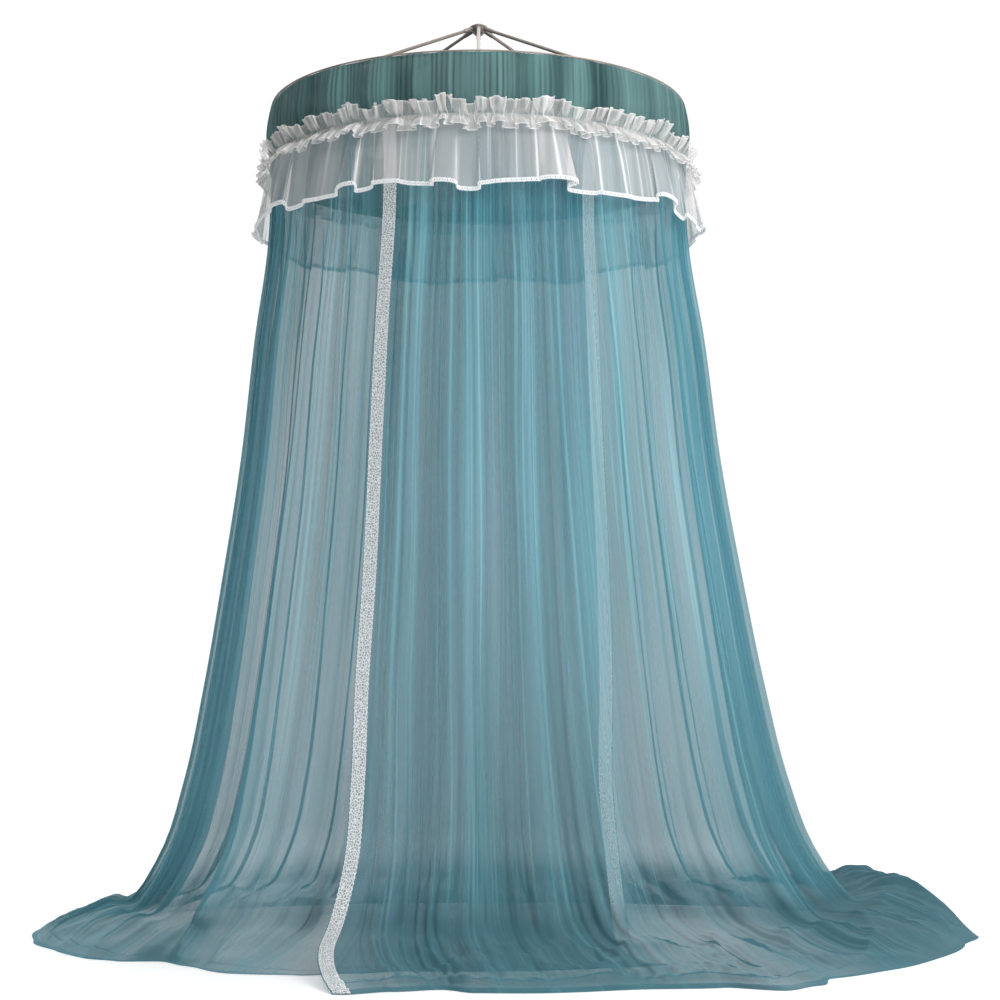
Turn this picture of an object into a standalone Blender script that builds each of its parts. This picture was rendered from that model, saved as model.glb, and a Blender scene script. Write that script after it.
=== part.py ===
"""A hanging mosquito-net canopy: a six-ribbed hoop frame with a net roof, a gathered crown band,
a frilled valance and two lace-edged net panels that overlap in front and trail on the floor.

Heights are measured from the floor and turned into the object's own frame by place(): its
origin is the centre of the hub's top face, +Z is up and the front opening looks along -Y.
Bearings are in degrees round the hub's axis: 0 is +X, -90 is the front.
"""

import math
import random
from collections import namedtuple

import bmesh
import bpy
from mathutils import Vector

# Frame, in metres.
HANG_HEIGHT = 2.670  # the hub's top above the floor
HOOP_HEIGHT = 2.393
HOOP_RADIUS = 0.600
HOOP_TUBE = 0.006  # radius of the hoop's tube
RIB_COUNT = 6
RIB_TUBE = 0.005
HUB_TOP_RADIUS = 0.016
HUB_RADIUS = 0.026
HUB_RIM_DEPTH = 0.006  # from the top face down to the widest edge
HUB_SEAT_LENGTH = 0.020  # the slanting face that the ribs stand on
HUB_BASE_RADIUS = 0.012

# Cloth, in metres.
NET_THICKNESS = 0.0015
TRIM_THICKNESS = 0.0012
GAP = 0.0004  # between pieces that are sewn together or seated
SEAM_HEIGHT = 2.210  # the crown is sewn to the panels here
SEAM_RADIUS = 0.612
VALANCE_HEM_HEIGHT = 2.030
LACE_WIDTH = 0.040  # tape on the panels' front edges
LACE_BAND = 0.045  # flat strip of each panel that carries its tape
BAND_MARGIN = 1.5  # degrees from that strip to the first fold
LACE_TOP = 0.004  # the tapes end this far below the seam
BRAID_HEIGHT = 0.012  # trim on the valance's hem

# Where the panels begin and end, in degrees.
RIGHT_EDGE = -115.3  # free front edge of the right panel, which lies outside
LEFT_EDGE = -56.0  # free front edge of the left panel, which lies inside
BACK_SEAM = 90.0
SEAM_HALF_GAP = 0.0008  # half of the gap between the two panels at the back seam
LAP_BEGINS = -127.3  # the left panel starts to slip behind the right one
LAP_IS_FULL = -117.8

PANEL_FOLDS = 17  # main folds in each panel
CROWN_FOLDS = 30
VALANCE_FOLDS = 24
VALANCE_STEPS = 5  # columns in each of the valance's folds

FULL_TURN = 360.0
UP = Vector((0.0, 0.0, 1.0))

Fold = namedtuple("Fold", "start width depth")
Station = namedtuple("Station", "height radius fold_depth sway swing")
Lying = namedtuple("Lying", "share sway swing")
Reach = namedtuple("Reach", "bearing radius")
Row = namedtuple("Row", "height radius wave ripple")
Heap = namedtuple("Heap", "bearing width height fall")

# How the panels fall, from the seam to where they meet the floor. The sway is how far the left
# panel's free edge moves behind the right panel, and the swing how far the right panel's moves
# towards the front, in degrees.
FALL = (
    Station(SEAM_HEIGHT - GAP, SEAM_RADIUS, 0.000, 0.5, 0.0),
    Station(2.120, 0.603, 0.009, 0.0, 0.0),
    Station(1.980, 0.606, 0.014, 0.0, 0.0),
    Station(1.700, 0.642, 0.018, 1.0, 0.0),
    Station(1.350, 0.677, 0.023, 1.7, 0.0),
    Station(1.000, 0.728, 0.028, 2.9, 0.8),
    Station(0.700, 0.777, 0.033, 4.6, 1.1),
    Station(0.440, 0.830, 0.038, 6.5, 2.2),
    Station(0.250, 0.893, 0.041, 6.9, 3.0),
    Station(0.120, 0.980, 0.038, 8.0, 3.3),
)
# The rows on the floor, by their share of the way to the hem.
TRAIL = (Lying(0.38, 8.0, 6.2), Lying(0.72, 6.0, 9.6), Lying(1.00, 3.0, 12.5))
LEAN = 0.10  # the net hangs this much wider on the right and narrower on the left
LAP_AT_SEAM = NET_THICKNESS + TRIM_THICKNESS + 7 * GAP  # the inner layer sits this far inside there
LAP_SHARE = 0.38  # how much less the inner layer flares than the outer one
LAP_FOLD_ROOM = 1.5  # the room for the folds between the layers, in fold depths
LAP_CLEARANCE = 0.006
LAP_FOLDS = 0.5  # the inner layer's folds are this deep beside the outer layer's

# The bands round the top, from the top down. A wave is how far the folds stand in and out, and a
# ripple is how far they rise and fall.
CROWN = (
    Row(HOOP_HEIGHT + 0.003, HOOP_RADIUS + HOOP_TUBE + 0.0042, 0.0035, 0.0),
    Row(HOOP_HEIGHT - 0.030, HOOP_RADIUS + HOOP_TUBE + 0.0080, 0.0060, 0.0),
    Row(HOOP_HEIGHT - 0.100, 0.6180, 0.0080, 0.0),
    Row(SEAM_HEIGHT + 0.022, SEAM_RADIUS + 0.0005, 0.0, 0.0),
    Row(SEAM_HEIGHT, SEAM_RADIUS, 0.0, 0.0),
)
SKIRT_RADIUS = CROWN[-2].radius + NET_THICKNESS + GAP  # where the valance is sewn over the crown
SKIRT = (
    Row(SEAM_HEIGHT + 0.016, SKIRT_RADIUS, 0.0, 0.0),
    Row(SEAM_HEIGHT + 0.004, SKIRT_RADIUS, 0.0, 0.0),
    Row(SEAM_HEIGHT - 0.070, 0.6300, 0.0090, 0.0),
    Row(VALANCE_HEM_HEIGHT, 0.6500, 0.0190, 0.012),
)
RUFFLE = (
    Row(SEAM_HEIGHT + 0.050, 0.6400, 0.0085, 0.010),
    Row(SEAM_HEIGHT + 0.010, SKIRT_RADIUS + (NET_THICKNESS + TRIM_THICKNESS) / 2 + GAP, 0.0, 0.0),
    Row(SEAM_HEIGHT - 0.026, 0.6480, 0.0085, 0.006),
)

# How far the hems trail over the floor, round the canopy.
RIGHT_HEM = (
    Reach(-102.0, 1.45),
    Reach(-98.0, 1.38),
    Reach(-94.0, 1.33),
    Reach(-90.0, 1.39),
    Reach(-84.0, 1.40),
    Reach(-75.0, 1.375),
    Reach(-67.0, 1.41),
    Reach(-62.5, 1.52),
    Reach(-57.5, 1.48),
    Reach(-53.0, 1.39),
    Reach(-43.0, 1.37),
    Reach(-28.0, 1.35),
    Reach(-13.0, 1.36),
    Reach(-1.0, 1.42),
    Reach(14.0, 1.45),
    Reach(40.0, 1.34),
    Reach(65.0, 1.22),
    Reach(90.0, 1.16),
)
LEFT_HEM = (
    Reach(-270.0, 1.16),
    Reach(-240.0, 1.20),
    Reach(-212.0, 1.27),
    Reach(-190.0, 1.30),
    Reach(-171.0, 1.24),
    Reach(-158.0, 1.20),
    Reach(-148.0, 1.19),
    Reach(-143.0, 1.155),
    Reach(-138.0, 1.07),
    Reach(-131.0, 1.095),
    Reach(-121.0, 1.155),
    Reach(-113.0, 1.12),
    Reach(-107.0, 1.04),
    Reach(-100.0, 0.96),
    Reach(-56.0, 0.93),
)
DRIFT_FADES = 22.0  # degrees from the free edge
# Where the cloth is heaped up on the floor. A higher fall keeps it high for longer to the hem.
RIGHT_HEAP = Heap(12.0, 26.0, 0.100, 6)
LEFT_HEAP = Heap(-172.0, 24.0, 0.032, 5)
FOOT_DROP = 0.030  # how much lower the cloth is where it meets the floor than at its foot
SETTLING = 1.6  # higher brings the cloth down to the floor sooner
FLOOR_FOLD = 0.034  # height of the folds that lie on the floor
HEM_FLATTENING = 0.80  # how much of that height they lose at the hem

TEAL = (0.115, 0.290, 0.345, 1.0)
TEAL_DEEP = (0.085, 0.225, 0.245, 1.0)
WHITE = (0.80, 0.81, 0.80, 1.0)
TAUPE = (0.315, 0.275, 0.250, 1.0)


def place(bearing, radius, height):
    """A point in the object's frame from its bearing, its distance from the axis and its height."""
    angle = math.radians(bearing)
    return Vector((radius * math.cos(angle), radius * math.sin(angle), height - HANG_HEIGHT))


def eased(share):
    """0 to 1 with a soft start and end, and held there outside."""
    share = min(1.0, max(0.0, share))
    return share * share * (3 - 2 * share)


def reach_at(hem, bearing):
    """The hem's distance from the axis at a bearing, between the rows of its table."""
    if bearing <= hem[0].bearing:
        return hem[0].radius
    for near, far in zip(hem, hem[1:]):
        if bearing <= far.bearing:
            share = eased((bearing - near.bearing) / (far.bearing - near.bearing))
            return near.radius + (far.radius - near.radius) * share
    return hem[-1].radius


def uneven_folds(first, last, count, seed):
    """Folds of uneven width and depth, side by side from first to last."""
    pick = random.Random(seed)
    widths = [pick.uniform(0.65, 1.35) for _ in range(count)]
    scale = (last - first) / sum(widths)
    folds, start = [], first
    for width in widths:
        folds.append(Fold(start, width * scale, pick.uniform(0.6, 1.0)))
        start += width * scale
    return folds


def fold_columns(folds, steps=4):
    """(place along the sheet, wave) for each column of a folded sheet: steps columns in each fold,
    a wave from -1 in a trough to 1 on a crest."""
    columns = []
    for fold in folds:
        for step in range(steps):
            share = step / steps
            wave = fold.depth * math.sin(2 * math.pi * share)
            columns.append((fold.start + fold.width * share, wave))
    columns.append((folds[-1].start + folds[-1].width, 0.0))
    return columns


def material(name, colour, roughness, metallic=0.0):
    made = bpy.data.materials.new(name)
    made.use_nodes = True
    shader = made.node_tree.nodes["Principled BSDF"]
    shader.inputs["Base Color"].default_value = colour
    shader.inputs["Roughness"].default_value = roughness
    shader.inputs["Metallic"].default_value = metallic
    made.diffuse_color = colour
    return made


def keep(obj, finish, collection):
    """Gives an object its material and moves it to the canopy's collection."""
    obj.data.materials.clear()
    obj.data.materials.append(finish)
    for old in list(obj.users_collection):
        old.objects.unlink(obj)
    collection.objects.link(obj)
    return obj


def sheet(name, columns, rows, point, thickness, finish, collection, closed=False):
    """A sheet of cloth: a grid whose point in each column and row is point(column, row), with
    Solidify for its thickness. A closed sheet's last column lands on its first."""
    mesh = bpy.data.meshes.new(name)
    grid = bmesh.new()
    bmesh.ops.create_grid(grid, x_segments=columns, y_segments=rows, size=0.5)
    for vertex in grid.verts:
        column = round((vertex.co.x + 0.5) * columns)
        row = round((0.5 - vertex.co.y) * rows)
        vertex.co = point(column, row)
    if closed:
        bmesh.ops.remove_doubles(grid, verts=grid.verts, dist=0.00002)
    bmesh.ops.triangulate(grid, faces=grid.faces, quad_method="FIXED")
    grid.to_mesh(mesh)
    grid.free()
    obj = bpy.data.objects.new(name, mesh)
    bpy.context.scene.collection.objects.link(obj)
    thick = obj.modifiers.new("thickness", "SOLIDIFY")
    thick.thickness = thickness
    thick.offset = 0.0
    return keep(obj, finish, collection)


def rib_slope():
    """The ribs' fall below level, in radians, on the line from the hub's seat to the hoop."""
    rise = HANG_HEIGHT - HUB_RIM_DEPTH - HUB_SEAT_LENGTH / 2 - HOOP_HEIGHT
    return math.atan2(rise, HOOP_RADIUS - HUB_RADIUS)


def hub(finish, collection):
    """The turned hub: a flat top for the hook, and a slanting seat square to the ribs."""
    slope = rib_slope()
    seat_foot = (
        HUB_RADIUS - HUB_SEAT_LENGTH * math.sin(slope),
        -HUB_RIM_DEPTH - HUB_SEAT_LENGTH * math.cos(slope),
    )
    profile = (
        (0.0, 0.0),
        (HUB_TOP_RADIUS, 0.0),
        (HUB_RADIUS, -HUB_RIM_DEPTH),
        seat_foot,
        (HUB_BASE_RADIUS, seat_foot[1] - HUB_RIM_DEPTH),
        (0.0, seat_foot[1] - HUB_RIM_DEPTH),
    )
    mesh = bpy.data.meshes.new("hub")
    edges = [(i, i + 1) for i in range(len(profile) - 1)]
    mesh.from_pydata([(r, 0.0, z) for r, z in profile], edges, [])
    obj = bpy.data.objects.new("hub", mesh)
    turn = obj.modifiers.new("turned", "SCREW")
    turn.axis = "Z"
    turn.steps = turn.render_steps = 24
    turn.use_merge_vertices = True
    turn.merge_threshold = 0.00001
    bpy.context.scene.collection.objects.link(obj)
    return keep(obj, finish, collection)


def hoop(finish, collection):
    bpy.ops.mesh.primitive_torus_add(
        major_segments=48,
        minor_segments=8,
        major_radius=HOOP_RADIUS,
        minor_radius=HOOP_TUBE,
        location=(0.0, 0.0, HOOP_HEIGHT - HANG_HEIGHT),
    )
    obj = bpy.context.active_object
    obj.name = "hoop"
    obj.data.shade_smooth()
    return keep(obj, finish, collection)


def ribs(finish, collection):
    """Straight tubes from the hub's seat to the hoop, the first one at the front."""
    slope = rib_slope()
    seat_radius = HUB_RADIUS - HUB_SEAT_LENGTH / 2 * math.sin(slope)
    seat_drop = HUB_RIM_DEPTH + HUB_SEAT_LENGTH / 2 * math.cos(slope)
    for number in range(RIB_COUNT):
        bearing = -90.0 + number * FULL_TURN / RIB_COUNT
        inner = place(bearing, seat_radius, HANG_HEIGHT - seat_drop)
        outer = place(bearing, HOOP_RADIUS, HOOP_HEIGHT)
        along = (outer - inner).normalized()
        curve = bpy.data.curves.new(f"rib_{number + 1}", "CURVE")
        curve.dimensions = "3D"
        curve.bevel_depth = RIB_TUBE
        curve.bevel_resolution = 2
        curve.use_fill_caps = True
        line = curve.splines.new("POLY")
        line.points.add(1)
        line.points[0].co = (*(inner + along * GAP), 1.0)
        line.points[1].co = (*(outer - along * (HOOP_TUBE + GAP)), 1.0)
        obj = bpy.data.objects.new(curve.name, curve)
        bpy.context.scene.collection.objects.link(obj)
        keep(obj, finish, collection)


def roof(finish, collection):
    """The net roof under the hoop: radial gathers that meet in the middle, where it sags."""
    spokes, rings = 48, 4
    gather = 0.006
    sag = 0.030
    edge_height = HOOP_HEIGHT - HOOP_TUBE - GAP - NET_THICKNESS / 2

    def point(column, row):
        share = row / rings  # 0 at the hoop, 1 in the middle
        slack = math.sin(math.pi * share)
        wave = gather * slack * (1 if column % 2 else -1)
        height = edge_height - sag * eased(share) - gather * slack + wave
        return place(column * FULL_TURN / spokes, HOOP_RADIUS * (1 - share), height)

    sheet("roof", spokes, rings, point, NET_THICKNESS, finish, collection, closed=True)


def crown(finish, collection):
    """The gathered band from the hoop to the seam, outside the hoop."""
    columns = fold_columns(uneven_folds(0.0, FULL_TURN, CROWN_FOLDS, seed=3))

    def point(column, row):
        bearing, wave = columns[column]
        at = CROWN[row]
        return place(bearing, at.radius + at.wave * wave, at.height)

    count = len(columns) - 1
    sheet("crown_band", count, len(CROWN) - 1, point, NET_THICKNESS, finish, collection, closed=True)


def valance(finish, trim, collection):
    """The sheer skirt sewn over the seam, its pleated ruffle and the braid on its hem."""
    folds = uneven_folds(-90.0, 270.0, VALANCE_FOLDS, seed=11)
    columns = fold_columns(folds, VALANCE_STEPS)
    count = len(columns) - 1
    hem = SKIRT[-1]
    braid_offset = (NET_THICKNESS + TRIM_THICKNESS) / 2 + 2 * GAP

    def folded(row, column):
        bearing, wave = columns[column % count]
        return place(bearing, row.radius + row.wave * wave, row.height + row.ripple * wave)

    def skirt_point(column, row):
        return folded(SKIRT[row], column)

    def ruffle_point(column, row):
        at = RUFFLE[row]
        bearing, wave = columns[column % count]
        pleat = at.wave * (1 if column % 2 else -1)
        return place(bearing, at.radius + pleat, at.height + at.ripple * wave)

    def braid_point(column, row):
        along = folded(hem, column + 1) - folded(hem, column - 1)
        outwards = along.cross(UP).normalized()
        return folded(hem, column) + outwards * braid_offset + UP * (0.5 - row) * BRAID_HEIGHT

    sheet("valance", count, len(SKIRT) - 1, skirt_point, NET_THICKNESS, finish, collection, closed=True)
    sheet("ruffle", count, len(RUFFLE) - 1, ruffle_point, TRIM_THICKNESS, finish, collection, closed=True)
    sheet("valance_braid", count, 1, braid_point, TRIM_THICKNESS, trim, collection, closed=True)


class Panel:
    """One net panel. A column is (turn, wave): turn is its distance in degrees from the free edge."""

    def __init__(self, name, edge, side, hem, heap, seed):
        self.name = name
        self.edge = edge
        self.side = side  # 1 where bearings grow from the free edge to the back seam
        self.hem = hem
        self.heap = heap
        span = abs(BACK_SEAM - (FULL_TURN if side < 0 else 0.0) - edge)
        self.band_turn = math.degrees(LACE_BAND / SEAM_RADIUS)
        folds = uneven_folds(self.band_turn + BAND_MARGIN, span, PANEL_FOLDS, seed)
        self.columns = [(0.0, 0.0), (None, 0.0)] + fold_columns(folds)
        self.rows = len(FALL) + len(TRAIL)

    def inner(self, bearing):
        """How far the left panel has slipped behind the right one: 0 outside the lap, 1 in it."""
        if self.side > 0:
            return 0.0
        return eased((bearing - LAP_BEGINS) / (LAP_IS_FULL - LAP_BEGINS))

    def hanging(self, bearing, wave, station):
        """(distance from the axis, height) on the hanging part of the panel."""
        radius = SEAM_RADIUS + (station.radius - SEAM_RADIUS) * self.lean(bearing)
        depth = station.fold_depth
        inside = self.inner(bearing)
        if inside:
            spread = (station.radius - HOOP_RADIUS) * LAP_SHARE
            room = LAP_FOLD_ROOM * depth + LAP_CLEARANCE
            radius -= inside * (max(room, spread) if depth else LAP_AT_SEAM)
            depth *= 1 - (1 - LAP_FOLDS) * inside
        return radius + depth * wave, station.height

    def lean(self, bearing):
        return 1 + LEAN * math.cos(math.radians(bearing))

    def trailing(self, bearing, wave, share):
        """(distance from the axis, height) on the floor, share of the way from the foot to the hem."""
        foot, foot_height = self.hanging(bearing, 0.0, FALL[-1])
        radius = foot + (reach_at(self.hem, bearing) - foot) * share
        off = (bearing - self.heap.bearing) / self.heap.width
        heap = self.heap.height * math.exp(-off * off) * (1 - share**self.heap.fall)
        lying = (foot_height - FOOT_DROP) * (1 - share) ** SETTLING + heap
        fold = FLOOR_FOLD * (1 - HEM_FLATTENING * share) * (1 - (1 - LAP_FOLDS) * self.inner(bearing))
        return radius, NET_THICKNESS / 2 + lying + fold * (1 + wave) / 2

    def drift(self, row):
        """How far the free edge is from its bearing at the seam, in degrees."""
        at = (FALL + TRAIL)[row]
        return at.swing if self.side > 0 else -at.sway

    def point(self, column, row):
        turn, wave = self.columns[column]
        share = TRAIL[row - len(FALL)].share if row >= len(FALL) else 0.0
        drift = self.drift(row)
        if turn is None:  # the inner side of the flat strip that carries the lace
            edge, _ = self.profile(self.edge + drift, 0.0, row, share)
            turn = math.degrees(LACE_BAND / edge)
        past_strip = max(0.0, turn - self.band_turn)  # the strip itself keeps its width
        bearing = self.edge + self.side * turn + drift * math.exp(-past_strip / DRIFT_FADES)
        radius, height = self.profile(bearing, wave, row, share)
        if column == len(self.columns) - 1:
            bearing -= self.side * math.degrees(SEAM_HALF_GAP / radius)
        return place(bearing, radius, height)

    def profile(self, bearing, wave, row, share):
        if row < len(FALL):
            return self.hanging(bearing, wave, FALL[row])
        return self.trailing(bearing, wave, share)

    def build(self, finish, collection):
        count = len(self.columns) - 1
        sheet(self.name, count, self.rows - 1, self.point, NET_THICKNESS, finish, collection)

    def build_lace(self, name, finish, collection):
        """The lace tape on the outer face of the flat strip along the free edge."""
        margin = (LACE_BAND - LACE_WIDTH) / 2 / LACE_BAND
        offset = NET_THICKNESS / 2 + 2 * GAP + TRIM_THICKNESS / 2

        def lace_point(column, row):
            edge, inside = self.point(0, row), self.point(1, row)
            above = self.point(0, max(row - 1, 0))
            below = self.point(0, min(row + 1, self.rows - 1))
            across = (inside - edge) * self.side
            outwards = across.cross(above - below).normalized()
            share = margin if column == 0 else 1 - margin
            on_net = edge + (inside - edge) * share
            if row == 0:
                on_net.z -= LACE_TOP
            return on_net + outwards * offset

        sheet(name, 1, self.rows - 1, lace_point, TRIM_THICKNESS, finish, collection)


def main():
    for obj in list(bpy.data.objects):
        bpy.data.objects.remove(obj)
    canopy = bpy.data.collections.new("mosquito_net_canopy")
    bpy.context.scene.collection.children.link(canopy)

    metal = material("frame_metal", TAUPE, 0.40, 0.6)
    net = material("teal_net", TEAL, 0.85)
    crown_net = material("crown_net", TEAL_DEEP, 0.85)
    organza = material("white_organza", WHITE, 0.75)
    lace = material("white_lace", WHITE, 0.85)

    hub(metal, canopy)
    hoop(metal, canopy)
    ribs(metal, canopy)
    roof(crown_net, canopy)
    crown(crown_net, canopy)
    valance(organza, lace, canopy)
    left = Panel("net_left", LEFT_EDGE, -1, LEFT_HEM, LEFT_HEAP, seed=5)
    right = Panel("net_right", RIGHT_EDGE, 1, RIGHT_HEM, RIGHT_HEAP, seed=8)
    left.build(net, canopy)
    right.build(net, canopy)
    left.build_lace("lace_left", lace, canopy)
    right.build_lace("lace_right", lace, canopy)


main()
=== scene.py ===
"""The looks of a hanging mosquito-net canopy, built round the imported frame.

Laid out as an add-on and run as a script. Sizes are in metres. Heights are measured from the
floor and turned into the part's own frame by place(); bearings are in degrees round the hub's
axis: 0 is +X and -90 is the front. The numbers of the drape are those of the part's source.
"""

import math
import random
from collections import namedtuple
from typing import NamedTuple

import bmesh
import bpy
import numpy as np
from bpy.props import FloatProperty, FloatVectorProperty, PointerProperty
from mathutils import Matrix, Vector


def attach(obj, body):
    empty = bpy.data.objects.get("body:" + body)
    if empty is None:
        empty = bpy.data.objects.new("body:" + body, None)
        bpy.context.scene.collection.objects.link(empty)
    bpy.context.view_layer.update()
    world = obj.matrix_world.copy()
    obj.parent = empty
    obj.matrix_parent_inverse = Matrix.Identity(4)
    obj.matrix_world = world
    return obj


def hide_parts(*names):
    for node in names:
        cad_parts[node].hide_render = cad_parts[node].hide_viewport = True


bl_info = {
    "name": "Mosquito net canopy",
    "version": (1, 0, 0),
    "blender": (4, 5, 0),
    "location": "3D View > Sidebar > Canopy",
    "description": "Dresses a hoop-frame bed canopy in net, voile and lace",
    "category": "Add Mesh",
}

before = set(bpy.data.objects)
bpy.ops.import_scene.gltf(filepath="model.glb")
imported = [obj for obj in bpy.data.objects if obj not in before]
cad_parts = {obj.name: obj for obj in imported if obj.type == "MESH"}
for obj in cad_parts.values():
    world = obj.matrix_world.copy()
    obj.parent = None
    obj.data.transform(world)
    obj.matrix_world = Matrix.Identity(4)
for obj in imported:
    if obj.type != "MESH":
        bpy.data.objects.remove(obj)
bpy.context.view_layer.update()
BODY = "root"

# The frame, as in the part's source.
HANG_HEIGHT = 2.670
HOOP_HEIGHT = 2.393
HOOP_RADIUS = 0.600
HOOP_TUBE = 0.006
RIB_COUNT = 6
HUB_RADIUS = 0.026
HUB_RIM_DEPTH = 0.006
HUB_SEAT_LENGTH = 0.020

# The cloth, as in the part's source.
NET_THICKNESS = 0.0015
TRIM_THICKNESS = 0.0012
GAP = 0.0004
SEAM_HEIGHT = 2.210
SEAM_RADIUS = 0.612
VALANCE_HEM_HEIGHT = 2.030
LACE_WIDTH = 0.040
LACE_BAND = 0.045
BAND_MARGIN = 1.5
LACE_TOP = 0.004
RIGHT_EDGE = -115.3
LEFT_EDGE = -56.0
BACK_SEAM = 90.0
SEAM_HALF_GAP = 0.0008
LAP_BEGINS = -127.3
LAP_IS_FULL = -117.8
PANEL_FOLDS = 17
CROWN_FOLDS = 30
VALANCE_FOLDS = 24
FULL_TURN = 360.0

Station = namedtuple("Station", "height radius fold_depth sway swing middle fine overhang")
Lying = namedtuple("Lying", "share sway swing")
Reach = namedtuple("Reach", "bearing radius")
Row = namedtuple("Row", "height radius wave ripple fine")
Heap = namedtuple("Heap", "bearing width height fall")

# How the panels fall. The last three columns are the scene's own: the depth of the middle folds and
# of the fine gathers, and how far the folds' flanks double over, in widths of a middle fold.
FALL = (
    Station(SEAM_HEIGHT - GAP, SEAM_RADIUS, 0.000, 0.5, 0.0, 0.0000, 0.0004, 0.00),
    Station(2.120, 0.603, 0.009, 0.0, 0.0, 0.0030, 0.0030, 0.03),
    Station(1.980, 0.606, 0.014, 0.0, 0.0, 0.0042, 0.0027, 0.05),
    Station(1.700, 0.642, 0.018, 1.0, 0.0, 0.0050, 0.0023, 0.06),
    Station(1.350, 0.677, 0.023, 1.7, 0.0, 0.0056, 0.0020, 0.05),
    Station(1.000, 0.728, 0.028, 2.9, 0.8, 0.0062, 0.0018, 0.045),
    Station(0.700, 0.777, 0.033, 4.6, 1.1, 0.0068, 0.0016, 0.04),
    Station(0.440, 0.830, 0.038, 6.5, 2.2, 0.0074, 0.0014, 0.04),
    Station(0.250, 0.893, 0.041, 6.9, 3.0, 0.0080, 0.0013, 0.04),
    Station(0.120, 0.980, 0.038, 8.0, 3.3, 0.0080, 0.0012, 0.04),
)
TRAIL = (Lying(0.38, 8.0, 6.2), Lying(0.72, 6.0, 9.6), Lying(1.00, 3.0, 12.5))
TRAIL_LENGTH = 0.45
LEAN = 0.10
LAP_AT_SEAM = NET_THICKNESS + TRIM_THICKNESS + 7 * GAP
LAP_SHARE = 0.38
LAP_FOLD_ROOM = 1.5
LAP_CLEARANCE = 0.006
LAP_FOLDS = 0.5

CROWN = (
    Row(HOOP_HEIGHT + 0.003, HOOP_RADIUS + HOOP_TUBE + 0.0042, 0.0020, 0.0, 0.0008),
    Row(HOOP_HEIGHT - 0.008, HOOP_RADIUS + HOOP_TUBE + 0.0056, 0.0034, 0.0, 0.0009),
    Row(HOOP_HEIGHT - 0.030, HOOP_RADIUS + HOOP_TUBE + 0.0080, 0.0060, 0.0, 0.0012),
    Row(HOOP_HEIGHT - 0.100, 0.6180, 0.0080, 0.0, 0.0013),
    Row(SEAM_HEIGHT + 0.022, SEAM_RADIUS + 0.0005, 0.0, 0.0, 0.0006),
    Row(SEAM_HEIGHT, SEAM_RADIUS, 0.0, 0.0, 0.0003),
)
SKIRT_RADIUS = SEAM_RADIUS + 0.0005 + NET_THICKNESS + GAP
SKIRT = (
    Row(SEAM_HEIGHT + 0.016, SKIRT_RADIUS, 0.0, 0.0, 0.0002),
    Row(SEAM_HEIGHT + 0.004, SKIRT_RADIUS, 0.0, 0.0, 0.0003),
    Row(SEAM_HEIGHT - 0.070, 0.6300, 0.0090, 0.0, 0.0014),
    Row(VALANCE_HEM_HEIGHT, 0.6500, 0.0190, 0.012, 0.0008),
)
RUFFLE_SEAT = SKIRT_RADIUS + (NET_THICKNESS + TRIM_THICKNESS) / 2 + GAP
RUFFLE = (
    Row(SEAM_HEIGHT + 0.050, 0.6400, 0.0085, 0.010, 0.0100),
    Row(SEAM_HEIGHT + 0.028, 0.6270, 0.0060, 0.005, 0.0070),
    Row(SEAM_HEIGHT + 0.010, RUFFLE_SEAT, 0.0, 0.0, 0.0006),
    Row(SEAM_HEIGHT - 0.008, 0.6330, 0.0060, 0.003, 0.0060),
    Row(SEAM_HEIGHT - 0.026, 0.6480, 0.0085, 0.006, 0.0100),
)

RIGHT_HEM = tuple(
    Reach(*at)
    for at in (
        (-102.0, 1.45), (-98.0, 1.38), (-94.0, 1.33), (-90.0, 1.39), (-84.0, 1.40), (-75.0, 1.375),
        (-67.0, 1.41), (-62.5, 1.52), (-57.5, 1.48), (-53.0, 1.39), (-43.0, 1.37), (-28.0, 1.35),
        (-13.0, 1.36), (-1.0, 1.42), (14.0, 1.45), (40.0, 1.34), (65.0, 1.22), (90.0, 1.16),
    )
)
LEFT_HEM = tuple(
    Reach(*at)
    for at in (
        (-270.0, 1.16), (-240.0, 1.20), (-212.0, 1.27), (-190.0, 1.30), (-171.0, 1.24),
        (-158.0, 1.20), (-148.0, 1.19), (-143.0, 1.155), (-138.0, 1.07), (-131.0, 1.095),
        (-121.0, 1.155), (-113.0, 1.12), (-107.0, 1.04), (-100.0, 0.96), (-56.0, 0.93),
    )
)
DRIFT_FADES = 22.0
RIGHT_HEAP = Heap(12.0, 26.0, 0.100, 6)
LEFT_HEAP = Heap(-172.0, 24.0, 0.032, 5)
FOOT_DROP = 0.030
SETTLING = 1.6
FLOOR_FOLD = 0.034
HEM_FLATTENING = 0.80

# How many folds the scene has of its own. The first two are those of one panel.
MIDDLE_FOLDS = 56
GATHERS = 150
CROWN_GATHERS = 260
VALANCE_GATHERS = 110
RUFFLE_PLEATS = 76
RUFFLE_TUCKS = 250

# The panels' meshes and the way that their folds hang.
PANEL_COLUMNS, HANGING_ROWS, FLOOR_ROWS = 1000, 50, 46
ROWS_CLOSER_ABOVE = 1.15
WANDER = ((2.3, 0.21, 0.45), (5.1, -0.37, 0.20))  # of the folds: by metre down, by degree, by how much
WANDER_DEGREES = 0.9
WANDER_FULL = 0.5  # metres down
WANDER_FADES = 8.0  # degrees from each edge
MAIN_DOUBLING = 0.225  # the main folds' share of the overhang

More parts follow.
